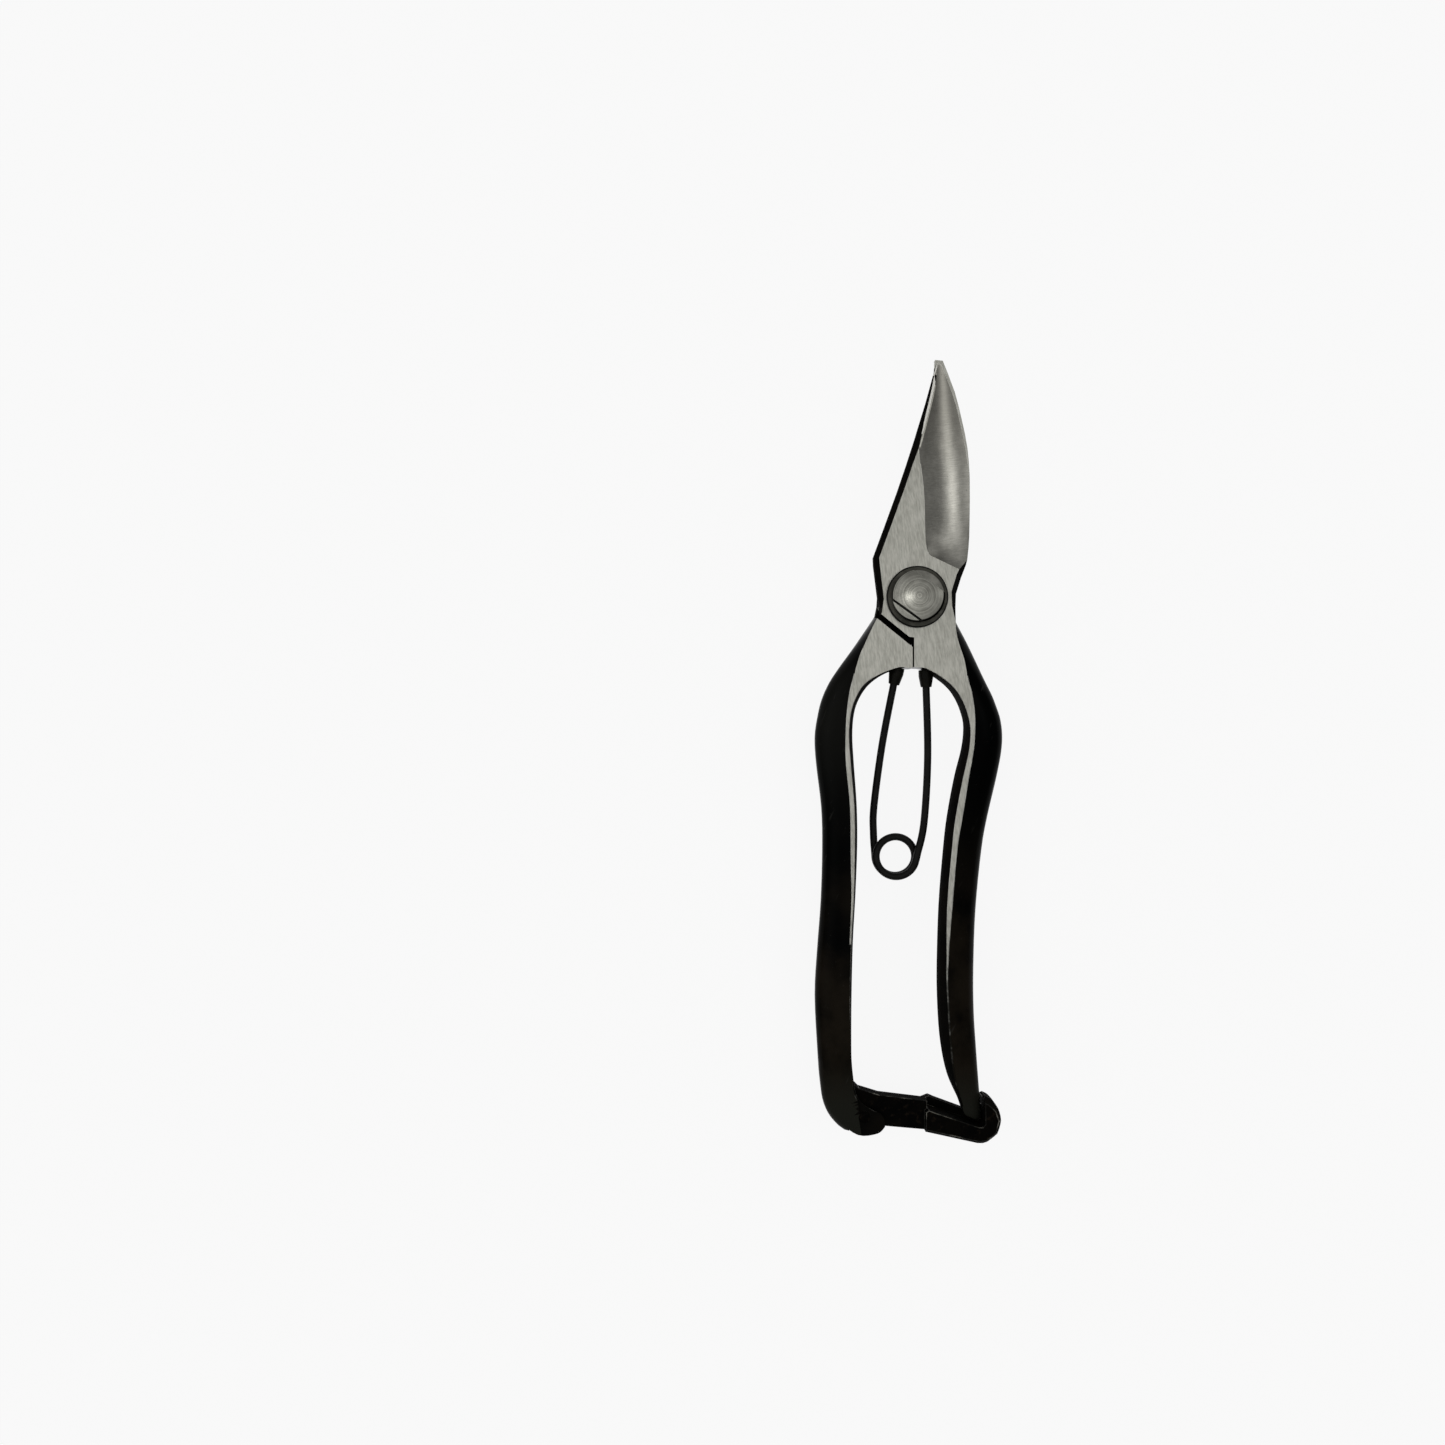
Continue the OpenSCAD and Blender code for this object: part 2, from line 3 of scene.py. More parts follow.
import bmesh
import bpy
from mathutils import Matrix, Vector


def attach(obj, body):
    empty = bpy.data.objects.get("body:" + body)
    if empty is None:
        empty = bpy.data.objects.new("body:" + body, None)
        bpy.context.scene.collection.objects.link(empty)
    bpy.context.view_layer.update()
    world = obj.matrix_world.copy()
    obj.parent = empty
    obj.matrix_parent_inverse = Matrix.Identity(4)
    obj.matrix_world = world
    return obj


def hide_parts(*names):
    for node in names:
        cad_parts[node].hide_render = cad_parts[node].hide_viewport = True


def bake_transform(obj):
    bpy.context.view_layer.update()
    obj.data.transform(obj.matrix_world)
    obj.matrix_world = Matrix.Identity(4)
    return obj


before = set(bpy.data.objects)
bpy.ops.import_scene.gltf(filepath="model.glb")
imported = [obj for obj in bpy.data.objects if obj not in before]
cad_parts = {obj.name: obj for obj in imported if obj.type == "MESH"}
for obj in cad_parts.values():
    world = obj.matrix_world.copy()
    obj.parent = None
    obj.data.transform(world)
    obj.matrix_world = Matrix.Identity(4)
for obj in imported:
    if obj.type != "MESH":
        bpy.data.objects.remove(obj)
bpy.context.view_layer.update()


# CUTTING HALF
# Right handle, neck and cutting blade: one forging of carbon steel, lacquered black, with its
# front and back facets then ground bright and the blade hollow ground down to its edge.

LIFT = 0.0104  # height of the plane where the two halves lap
LAYER = 0.005  # thickness of one lap
NECK_Y, GRIP_Y, FOOT_Y = -20, -88, -126  # in mm: below the blades, the lower grips, and the feet
FACET_Z = 4.97  # in mm: the ground facets lie above this


class Value:
    """A socket of a material. Arithmetic on it adds Math nodes; node() adds any other node."""

    def __init__(self, socket):
        self.socket = socket

    def node(self, kind, sockets, out=0, **settings):
        tree = self.socket.id_data
        made = tree.nodes.new(kind)
        for name, setting in settings.items():
            setattr(made, name, setting)
        for name, value in sockets.items():
            if isinstance(value, Value):
                tree.links.new(value.socket, made.inputs[name])
            else:
                made.inputs[name].default_value = value
        return Value(made.outputs[out])

    def math(self, operation, first, second=0.0):
        return self.node("ShaderNodeMath", {0: first, 1: second}, operation=operation)

    def __add__(self, other):
        return self.math("ADD", self, other)

    def __radd__(self, other):
        return self.math("ADD", other, self)

    def __sub__(self, other):
        return self.math("SUBTRACT", self, other)

    def __rsub__(self, other):
        return self.math("SUBTRACT", other, self)

    def __mul__(self, other):
        return self.math("MULTIPLY", self, other)

    def __rmul__(self, other):
        return self.math("MULTIPLY", other, self)

    def __pow__(self, other):
        return self.math("POWER", self, other)

    def between(self, low, high):
        """0 below low, 1 above high, and smooth in between."""
        return self.node("ShaderNodeMapRange", {"Value": self, "From Min": low, "From Max": high},
                         interpolation_type="SMOOTHSTEP")

    def along(self, way):
        """How far these coordinates lie along a direction."""
        return self.node("ShaderNodeVectorMath", {0: self, 1: way}, out="Value", operation="DOT_PRODUCT")

    def from_axis(self):
        """How far these coordinates lie from the Z axis."""
        flat = self.node("ShaderNodeVectorMath", {0: self, 1: (1, 1, 0)}, operation="MULTIPLY")
        return flat.node("ShaderNodeVectorMath", {0: flat}, out="Value", operation="LENGTH")

    def noise(self, scale, detail=3.0, rough=0.55, stretch=(1, 1, 1), turn=0.0, at=(0, 0, 0)):
        """Noise on these coordinates, stretched along axes that are turned about Z."""
        turned = self.node("ShaderNodeVectorRotate", {"Vector": self, "Angle": turn},
                           rotation_type="Z_AXIS")
        place = turned.node("ShaderNodeMapping", {"Vector": turned, "Location": at, "Scale": stretch})
        return place.node("ShaderNodeTexNoise",
                          {"Vector": place, "Scale": scale, "Detail": detail, "Roughness": rough})

    def mix(self, first, second):
        """The first colour where this value is 0, the second where it is 1."""
        def colour(c):
            return c if isinstance(c, Value) else (*c, 1)
        return self.node("ShaderNodeMix", {0: self, 6: colour(first), 7: colour(second)}, out=2,
                         data_type="RGBA")

    def bump(self, height, strength=1.0):
        return self.node("ShaderNodeBump", {"Height": self, "Distance": height, "Strength": strength})


def begin(name, **constants):
    """A new material: itself, its shader, and the coordinates of the piece."""
    material = bpy.data.materials.new(name)
    material.use_nodes = True
    tree = material.node_tree
    shader = tree.nodes["Principled BSDF"]
    for socket, value in constants.items():
        shader.inputs[socket.replace("_", " ")].default_value = value
    place = tree.nodes.new("ShaderNodeTexCoord").outputs["Object"]
    return material, shader, Value(place)


def feed(shader, **values):
    for socket, value in values.items():
        shader.id_data.links.new(value.socket, shader.inputs[socket.replace("_", " ")])


def ground_steel():
    """Belt-ground flats: fine strokes along the tool, a few deeper ones and faint handling stains."""
    steel, shader, place = begin("ground_steel", Metallic=1.0)
    slant = math.radians(-8)
    fine = place.noise(1, 3, 0.65, (2700, 420, 900), slant)
    coarse = place.noise(1, 2, 0.5, (1000, 130, 400), slant, (3, 1, 0))
    scratch = place.noise(1, 1, 0.5, (2600, 110, 500), math.radians(-20), (9, 4, 0)).between(0.7, 0.8)
    stain = place.noise(120, 4, 0.6)
    tone = fine * 0.48 + coarse * 0.27 + stain * 0.25
    colour = tone.between(0.38, 0.62).mix((0.335, 0.331, 0.292), (0.52, 0.515, 0.463))
    colour = (scratch * 0.5).mix(colour, (0.2, 0.195, 0.17))
    feed(shader, Base_Color=colour, Roughness=0.28 + coarse * 0.14 + stain * 0.08,
         Normal=(fine * 0.6 + coarse * 0.4 - scratch * 0.5).bump(0.00003, 0.6))
    return steel


def hollow_steel():
    """The hollow grind: satin from the wheel, fine lines across it, dark specks, stained at the tip and
    with painted shade in its lower corner."""
    steel, shader, place = begin("hollow_steel", Metallic=1.0)
    lines = place.noise(1, 3, 0.6, (420, 3000, 900), math.radians(-10))
    cloud = place.noise(210, 4, 0.6, (1.5, 0.8, 1))
    speck = place.noise(1500, 2, 0.5, (1.3, 0.8, 1)).between(0.68, 0.76)
    tone = lines * 0.45 + cloud * 0.55
    colour = tone.between(0.34, 0.66).mix((0.30, 0.294, 0.262), (0.43, 0.42, 0.378))
    colour = (speck * 0.4).mix(colour, (0.14, 0.135, 0.12))
    up = place.along((0, 1, 0))
    colour = (up.between(0.026, 0.052) * 0.62).mix(colour, (0.165, 0.157, 0.135))
    # painted shade in the lower corner of the hollow, where its end wall turns up at the heel
    away = place.node("ShaderNodeVectorMath", {0: place, 1: (0.0046, 0.0112, LIFT + 0.0044)}, out="Value",
                      operation="DISTANCE")
    colour = (0.66 - away.between(0.0012, 0.0052) * 0.66).mix(colour, (0.06, 0.059, 0.052))
    feed(shader, Base_Color=colour, Roughness=0.12 + cloud * 0.08 + lines * 0.04,
         Normal=(lines * 0.7 + cloud * 0.5 - speck * 0.6).bump(0.00002, 0.4))
    return steel


def black_lacquer():
    """Black lacquer over forged steel: soft gloss, browner towards the tails with painted sheen mixed in,
    lighter towards the feet, a painted sheen on the upper left handle, few scuffs.
    """
    lacquer, shader, place = begin("black_lacquer", Specular_IOR_Level=0.02)
    cloud = place.noise(55, 4, 0.6)
    ripple = place.noise(260, 3, 0.5)
    dust = place.noise(1500, 2, 0.5).between(0.69, 0.76)
    scuff = place.noise(1, 2, 0.5, (900, 120, 400), math.radians(25), (2, 7, 0)).between(0.67, 0.78)
    down = place.along((0, -1, 0))
    # browner, lighter patches towards the tails: partly a brown tint of the lacquer, partly painted sheen
    tint_and_sheen = down.between(0.045, 0.11) * cloud.between(0.35, 0.65)
    left = place.along((-1, 0, 0))
    # painted sheen over the upper part of the left handle
    painted_sheen = left.between(0.01, 0.022) * (1 - down.between(0.03, 0.065)) * (0.6 + cloud * 0.8)
    colour = painted_sheen.mix((0.0002, 0.0004, 0.0004), (0.0078, 0.0078, 0.0068))
    colour = tint_and_sheen.mix(colour, (0.0120, 0.0092, 0.0060))
    # lighter and more olive towards the feet
    colour = down.between(0.118, 0.134).mix(colour, (0.0150, 0.0155, 0.0120))
    colour = (dust * 0.3 + scuff * 0.4).mix(colour, (0.030, 0.029, 0.026))
    feed(shader, Base_Color=colour, Roughness=0.14 + cloud * 0.12 + scuff * 0.2,
         Normal=(ripple * 0.8 + cloud * 0.6).bump(0.00012, 0.35))
    return lacquer


def forge_black():
    """The walls between the handles: dull scale under a thin coat, which takes no shine."""
    scale, shader, place = begin("forge_black", Specular_IOR_Level=0.02)
    cloud = place.noise(120, 4, 0.6)
    grit = place.noise(900, 3, 0.6)
    colour = cloud.between(0.3, 0.7).mix((0.0018, 0.0020, 0.0018), (0.0055, 0.0045, 0.0035))
    colour = (grit.between(0.62, 0.78) * 0.4).mix(colour, (0.016, 0.013, 0.010))
    feed(shader, Base_Color=colour, Roughness=0.72 + grit * 0.2, Normal=(cloud + grit * 0.5).bump(0.0001, 0.4))
    return scale


def rubbed_edge():
    """Edges that handling has rubbed through the black, brightest near the blades, with a painted highlight on
    the hollow's edges towards the tip.
    """
    steel, shader, place = begin("rubbed_edge", Metallic=1.0)
    patch = place.noise(210, 4, 0.6)
    fine = place.noise(1700, 2, 0.5)
    up = place.along((0, 1, 0))
    worn = up.between(-0.125, -0.07) * 0.75 + patch.between(0.45, 0.65) * 0.35 - 0.1
    colour = worn.between(0, 1).mix((0.012, 0.011, 0.009), (0.52, 0.515, 0.47))
    # painted highlight: the hollow's rubbed edges towards the tip are lighter than bare steel, standing in for
    # the crest's shine
    colour = up.between(0.03, 0.036).mix(colour, (0.68, 0.67, 0.62))
    feed(shader, Base_Color=colour, Roughness=0.3 + fine * 0.2, Normal=fine.bump(0.00002, 0.4))
    return steel


FINISHES = [ground_steel(), hollow_steel(), black_lacquer(), forge_black(), rubbed_edge()]


def forged(node, name, materials, choose, edge=0.00012, sharp=24, rubbed=None, worn=None, split=()):
    """A merged copy of a CAD node with worn edges. choose() gives each face its material, worn()
    each sharp edge its share of the width, and split the planes where a face changes its finish, each
    with the y below which it cuts."""
    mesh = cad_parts[node].data.copy()
    shape = bmesh.new()
    shape.from_mesh(mesh)
    bmesh.ops.remove_doubles(shape, verts=shape.verts, dist=2e-6)
    bmesh.ops.dissolve_limit(shape, angle_limit=math.radians(0.2), verts=shape.verts, edges=shape.edges)
    for point, way, below in split:
        cut = [face for face in shape.faces if face.calc_center_median().y < below]
        edges = {seam for face in cut for seam in face.edges}
        corners = {corner for face in cut for corner in face.verts}
        bmesh.ops.bisect_plane(shape, geom=[*corners, *edges, *cut], plane_co=point, plane_no=way)
    for face in shape.faces:
        x, y, z = (face.calc_center_median() - Vector((0, 0, LIFT))) * 1000
        heights = [(corner.co.z - LIFT) * 1000 for corner in face.verts]
        flat = max(heights) - min(heights) < 0.03
        face.material_index = choose(face.normal, flat, x, y, z)
        face.smooth = True
    width = shape.edges.layers.float.new("bevel_weight_edge")
    for seam in shape.edges:
        turn = seam.calc_face_angle() if len(seam.link_faces) == 2 else math.pi
        finishes = {face.material_index for face in seam.link_faces}
        seam.smooth = turn < math.radians(sharp) and len(finishes) == 1
        if not seam.smooth:
            x, y, z = (sum((end.co for end in seam.verts), Vector()) / 2 - Vector((0, 0, LIFT))) * 1000
            seam[width] = worn(finishes, x, y, z) if worn else 1
    mesh.materials.clear()
    for material in materials:
        mesh.materials.append(material)
    shape.to_mesh(mesh)
    shape.free()
    mesh.name = name
    piece = bpy.data.objects.new(name, mesh)
    bpy.context.scene.collection.objects.link(piece)
    rounded = piece.modifiers.new("worn_edges", "BEVEL")
    rounded.width, rounded.segments = edge, 2
    rounded.limit_method, rounded.use_clamp_overlap = "WEIGHT", False
    if rubbed is not None:
        rounded.material = rubbed
    even = piece.modifiers.new("even_faces", "WEIGHTED_NORMAL")
    even.keep_sharp, even.weight = True, 50
    drawn = bpy.context.evaluated_depsgraph_get()
    finished = bpy.data.meshes.new_from_object(piece.evaluated_get(drawn))
    piece.modifiers.clear()
    piece.data = finished
    finished.name = name
    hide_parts(node)
    return piece


def worn_edge(finishes, x, y, z):
    """How wide an edge of a half is rubbed, as a share of the widest."""
    if y > NECK_Y:
        if 1 not in finishes or y < 16 or 34 < y < 42 and z > 3:  # only the hollow's edges, and not at its bend
            return 0
        if finishes == {1, 3} and z > 1.2:
            return min(1, 0.25 + max(0, y - 42) / 6)
        return 0.2 if z > 3 else 0.35 * min(1, max(0, y - 26) / 12)
    if y < -132.5 and x > -20 or y < -131 and x > 0:  # the cheeks and the tail are too thin to round
        return 0
    if y < GRIP_Y:
        return 0.7 if x > 0 and finishes == {2, 3} and abs(z) > 2 else 0.2
    return 0.3


SHOULDER_TURN, SHOULDER_FROM = 231, 8.2  # direction and distance of the slot under each shoulder


def in_slot(x, y, turn):
    a = math.radians(turn)
    return x * math.cos(a) + y * math.sin(a) > SHOULDER_FROM


def slot_plane(turn):
    a = math.radians(turn)
    way = Vector((math.cos(a), math.sin(a), 0))
    return way * SHOULDER_FROM / 1000, way, 1


def handle_face(normal, flat, x, y, z, inward):
    """0 the ground facets, 3 the dull walls between the handles and cheeks of the foot, 2 lacquer."""
    if flat and abs(z) > FACET_Z and y > FOOT_Y:
        return 0
    if flat and abs(z) < 3.7 and y < FOOT_Y or abs(normal.z) < 0.4 and y > -4.5:
        return 3
    return 3 if normal.x * inward > 0.25 and abs(normal.z) < 0.75 else 2


def cutting_face(normal, flat, x, y, z):
    """0 ground, 1 hollow, 2 lacquer, 3 forge black."""
    if flat and abs(z) < 1 and normal.z < -0.9:
        return 3 if in_slot(x, y, 180 - SHOULDER_TURN) else 0
    if y > -7 and abs(normal.z - 0.53) < 0.05 and abs(normal.x) > 0.6:
        return 3
    if x > 0 and (y > 5 and 0.3 < normal.z < 0.999 or y > 16 and normal.z > 0.3 and z < 1.5):
        return 1
    if y < 8:
        return handle_face(normal, flat, x, y, z, -1)
    return 0 if abs(normal.z) > 0.999 or abs(normal.z) < 0.3 and normal.x > 0.3 else 3


cutting_half = forged("cutting_half", "cutting_half_forging", FINISHES, cutting_face, 0.0004, 24, 4,
                      worn_edge, [slot_plane(180 - SHOULDER_TURN)])


def round_crest(mesh):
    """Turns the normals along the crest of the hollow to the sky, as they are where wear rounds it."""
    sky = Vector((-0.05, -0.1, 1)).normalized()
    beside = {}
    for face in mesh.polygons:
        for corner in face.vertices:
            beside.setdefault(corner, set()).add(face.material_index)
    ways = [Vector(corner.vector) for corner in mesh.corner_normals]
    for face in mesh.polygons:
        for i in face.loop_indices if face.material_index in (1, 4) else ():
            corner = mesh.loops[i].vertex_index
            place = (mesh.vertices[corner].co - Vector((0, 0, LIFT))) * 1000
            if place.y > 35.5 and place.z > 1 and beside[corner] & {3, 4}:
                ways[i] = sky if face.material_index == 4 else (sky * 0.7 + ways[i] * 0.3).normalized()
    mesh.normals_split_custom_set(ways)


round_crest(cutting_half.data)
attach(cutting_half, "cutting_side")


# COUNTER HALF
# Left handle and hooked counter blade: the other forging, finished like the first. Its blade is
# ground thinner to the tip and bevelled behind its shear edge; its foot is slotted for the catch.

CHEEK_AT, CHEEK_TURN = Vector((-0.01487, -0.134, 0)), math.radians(10)  # where the cheeks are filed from
CHEEK_WAY = Vector((math.cos(CHEEK_TURN), math.sin(CHEEK_TURN), 0))


def counter_face(normal, flat, x, y, z):
    """0 ground, 2 lacquer, 3 forge black."""
    if flat and abs(z) < 1 and normal.z > 0.9:
        return 3 if in_slot(x, y, SHOULDER_TURN) else 0
    if y < FOOT_Y and (Vector((x, y, 0)) / 1000 - CHEEK_AT).dot(CHEEK_WAY) > 0:
        return 3
    if y < 8:
        return handle_face(normal, flat, x, y, z, 1)
    return 0 if abs(normal.z) > 0.98 or normal.z < -0.3 and normal.x < 0 or y > 60 else 3


counter_half = forged("counter_half", "counter_half_forging", FINISHES, counter_face, 0.0004, 24, 4,
                      worn_edge, [slot_plane(SHOULDER_TURN), (Vector((0, 0.06, 0)), Vector((0, 1, 0)), 1),
                                  (CHEEK_AT, CHEEK_WAY, -0.1343)])
for corner in counter_half.data.vertices:
    if corner.co.x < -0.017 and corner.co.y < -0.1378:
        corner.co.y = -0.1378  # the corner at the mouth of the slot, dressed down to the cheeks
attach(counter_half, "counter_side")


# PIVOT BOLT
# Turned steel bolt: round flange with a low domed boss that two flats let a spanner hold. The
# lathe's rings show on the dome and the flange.

def turned_steel():
    """Lathe-turned dome: uneven rings round the axis, bright where the tool last passed, with a painted shadow
    round the rim, wider at its lower right.
    """
    steel, shader, place = begin("turned_steel", Metallic=1.0)
    radius = place.from_axis()
    wander = place.noise(420, 2, 0.5)
    reach = radius * 1000 + wander * 0.16
    along = reach.node("ShaderNodeCombineXYZ", {"X": reach})
    ring = along.noise(2.6, 3, 0.7)
    groove = along.noise(5.5, 2, 0.5, at=(7, 0, 0)).between(0.62, 0.72)
    cloud = place.noise(300, 3, 0.6)
    colour = (ring * 0.7 + cloud * 0.3).between(0.4, 0.6).mix((0.18, 0.178, 0.155), (0.35, 0.346, 0.308))
    colour = (groove * 0.45).mix(colour, (0.17, 0.165, 0.145))
    low = place.along((0.68, -0.73, 0))
    rim_shadow = (radius + low * 0.06).between(0.0063, 0.0065)  # painted shadow round the rim, wider at its lower right
    colour = rim_shadow.mix(colour, (0.002, 0.002, 0.0018))
    feed(shader, Base_Color=colour, Roughness=0.09 + ring * 0.08 + cloud * 0.06,
         Normal=(ring - groove * 0.4).bump(0.000015, 0.5))
    return steel


def painted_shade_steel(name, dark, light):
    """Darker steel that paints shade: on the bolt's walls, in the corner of its near flat and on its far flat.
    """
    steel, shader, place = begin(name, Metallic=0.9)
    cloud = place.noise(400, 4, 0.6)
    grit = place.noise(1600, 2, 0.6)
    feed(shader, Base_Color=cloud.between(0.3, 0.7).mix(dark, light), Roughness=0.32 + grit * 0.2,
         Normal=grit.bump(0.00003, 0.4))
    return steel


def bolt_face(normal, flat, x, y, z):
    """1 the walls and a strip in the corner of the near flat, painted shade, 2 the far flat, painted darker as
    shade, 0 the rest.
    """
    if abs(normal.z) < 0.5:
        return 1
    if not (flat and 7 < z < 7.6):
        return 0
    along = x * FLAT_WAY.x + y * FLAT_WAY.y
    return 2 if along < 0 else 1 if along < SHADED_CORNER_TO else 0


FLAT_WAY, SHADED_CORNER_TO = Vector((math.cos(math.radians(234)), math.sin(math.radians(234)), 0)), 4.85
# painted shade: near-black walls, the strip along the near flat's corner, and a darker far flat
TURNED = [turned_steel(), painted_shade_steel("painted_shade_wall", (0.006, 0.006, 0.005), (0.03, 0.029, 0.025)),
          painted_shade_steel("painted_shade_flat", (0.13, 0.128, 0.112), (0.24, 0.235, 0.21))]
bolt = forged("pivot_bolt", "pivot_bolt_turned", TURNED, bolt_face, 0.0001, 28,
              worn=lambda finishes, x, y, z: z < 7, split=[(FLAT_WAY * SHADED_CORNER_TO / 1000, FLAT_WAY, 1)])
ways = [Vector(corner.vector) for corner in bolt.data.corner_normals]
for face in bolt.data.polygons:
    for i in face.loop_indices if face.material_index == 0 and face.normal.z > 0.9 else ():
        ways[i] = (ways[i] * Vector((0.6, 0.6, 1))).normalized()  # the dome is worn flatter than it was turned
bolt.data.normals_split_custom_set(ways)
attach(bolt, "cutting_side")


# WASHERS AND NUT
# Two blackened washers and a hexagon nut that clamp the halves on the bolt, all dark from
# quenching in oil, rubbed a little brighter in patches and darker towards the washers' outer edge.

def blackened_steel():
    steel, shader, place = begin("blackened_steel", Metallic=0.85)
    cloud = place.noise(220, 4, 0.6)
    grit = place.noise(1400, 2, 0.6)
    rubbed = place.noise(420, 3, 0.5, at=(4, 2, 1)).between(0.6, 0.75)
    colour = cloud.between(0.3, 0.75).mix((0.032, 0.032, 0.026), (0.078, 0.075, 0.062))
    colour = (rubbed * 0.5).mix(colour, (0.14, 0.137, 0.12))
    radius = place.from_axis()
    darker_rim = radius.between(0.00745, 0.00765)  # darker round the washers' outer edge
    colour = darker_rim.mix(colour, (0.006, 0.006, 0.005))
    feed(shader, Base_Color=colour, Roughness=0.34 + grit * 0.2, Normal=grit.bump(0.00004, 0.4))
    return steel


BLACKENED = blackened_steel()
for node, edge in (("head_washer", 0.0003), ("nut_washer", 0.0001), ("pivot_nut", 0.0001)):
    piece = forged(node, node + "_blackened", [BLACKENED], lambda *_: 0, edge, 28)
    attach(piece, "cutting_side")


# SPRING SOCKETS
# Two small turned cups, pressed by their stems into the arch of each handle, that hold the tips
# of the spring. Lacquered over with the handles.

def socket_black():
    """Black-brown oil finish, thin enough to show the tool marks round the cup."""
    steel, shader, place = begin("socket_black", Metallic=0.2, Specular_IOR_Level=0.12)
    cloud = place.noise(520, 4, 0.6)
    grit = place.noise(2100, 2, 0.5)
    colour = cloud.between(0.3, 0.7).mix((0.0020, 0.0020, 0.0009), (0.0070, 0.0062, 0.0032))
    feed(shader, Base_Color=colour, Roughness=0.36 + grit * 0.2, Normal=grit.bump(0.00003, 0.4))
    return steel


SOCKET = socket_black()
for node, body in (("left_socket", "counter_side"), ("right_socket", "cutting_side")):
    piece = forged(node, node + "_cup", [SOCKET], lambda *_: 0, 0.00008, 28)
    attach(piece, body)


# SPRING
# One length of round spring wire, oiled black: a tip in each socket, two bowed legs, and a coil
# of about one and a half turns that winds up as the handles close.

WIRE_D, COIL_R, COIL_RISE, TIP_IN = 1.9, 5.1, 3.8, 2.6
COIL_AT, COIL_FROM, COIL_TO, COIL_STEPS = (-4.95, -67), 180, 701, 132
LEFT_LEG = [(-5.45, -22.6, 0), (-8.3, -38, 0.4), (-10.35, -54, 0.8), (-10.45, -61, 0.95)]
RIGHT_LEG = [(0.5, -66.2, 1), (2.3, -57.9, 0.8), (3.35, -41, 0.4), (3.05, -23.3, 0)]
LEFT_MOUTH, LEFT_TURN = (-5.35, -22.3), -12
RIGHT_MOUTH, RIGHT_TURN = (3.05, -23), 1


def smooth_row(points, steps):
    """A Catmull-Rom row through the points."""
    rows = [Vector(p) for p in points]
    found = []
    for i in range(len(rows) - 1):
        a, b, c, d = rows[max(i - 1, 0)], rows[i], rows[i + 1], rows[min(i + 2, len(rows) - 1)]
        for j in range(steps):
            t = j / steps
            found.append(0.5 * (2 * b + (c - a) * t + (2 * a - 5 * b + 4 * c - d) * t * t
                                + (3 * b - a - 3 * c + d) * t ** 3))
    return found + [rows[-1]]


def tip(mouth, turn):
    a = math.radians(turn)
    return Vector((mouth[0] - TIP_IN * math.sin(a), mouth[1] + TIP_IN * math.cos(a), 0))


def coil_point(share):
    a = math.radians(COIL_FROM + (COIL_TO - COIL_FROM) * share)
    return Vector((COIL_AT[0] + COIL_R * math.cos(a), COIL_AT[1] + COIL_R * math.sin(a),
                   (share - 0.5) * COIL_RISE))


def spring_steel():
    steel, shader, place = begin("spring_steel", Specular_IOR_Level=0.13)
    cloud = place.noise(240, 4, 0.6)
    grit = place.noise(1800, 2, 0.5)
    colour = cloud.between(0.3, 0.7).mix((0.0024, 0.0024, 0.0021), (0.0075, 0.0073, 0.0062))
    feed(shader, Base_Color=colour, Roughness=0.4 + cloud * 0.15, Normal=grit.bump(0.00003, 0.4))
    return steel


def drawn_wire():
    """A tree that draws round wire along the edges of a mesh."""
    tree = bpy.data.node_groups.new("drawn_wire", "GeometryNodeTree")
    face = tree.interface
    face.new_socket("Geometry", in_out="INPUT", socket_type="NodeSocketGeometry")
    sizes = {name: face.new_socket(name, in_out="INPUT", socket_type=kind).identifier
             for name, kind in (("Diameter", "NodeSocketFloat"), ("Sides", "NodeSocketInt"),
                                ("Finish", "NodeSocketMaterial"))}
    face.new_socket("Geometry", in_out="OUTPUT", socket_type="NodeSocketGeometry")
    begin_node, end_node = tree.nodes.new("NodeGroupInput"), tree.nodes.new("NodeGroupOutput")
    path = tree.nodes.new("GeometryNodeMeshToCurve")
    section = tree.nodes.new("GeometryNodeCurvePrimitiveCircle")
    half = tree.nodes.new("ShaderNodeMath")
    half.operation = "MULTIPLY"
    half.inputs[1].default_value = 0.5
    swept = tree.nodes.new("GeometryNodeCurveToMesh")
    swept.inputs["Fill Caps"].default_value = True
    soft = tree.nodes.new("GeometryNodeSetShadeSmooth")
    real = tree.nodes.new("GeometryNodeRealizeInstances")
    dressed = tree.nodes.new("GeometryNodeSetMaterial")
    for start, end in ((begin_node.outputs["Geometry"], path.inputs["Mesh"]),
                       (begin_node.outputs["Diameter"], half.inputs[0]),
                       (half.outputs[0], section.inputs["Radius"]),
                       (begin_node.outputs["Sides"], section.inputs["Resolution"]),
                       (path.outputs["Curve"], swept.inputs["Curve"]),
                       (section.outputs["Curve"], swept.inputs["Profile Curve"]),
                       (swept.outputs["Mesh"], soft.inputs["Geometry"]),
                       (soft.outputs["Geometry"], real.inputs["Geometry"]),
                       (real.outputs["Geometry"], dressed.inputs["Geometry"]),
                       (begin_node.outputs["Finish"], dressed.inputs["Material"]),
                       (dressed.outputs["Geometry"], end_node.inputs["Geometry"])):
        tree.links.new(start, end)
    return tree, sizes


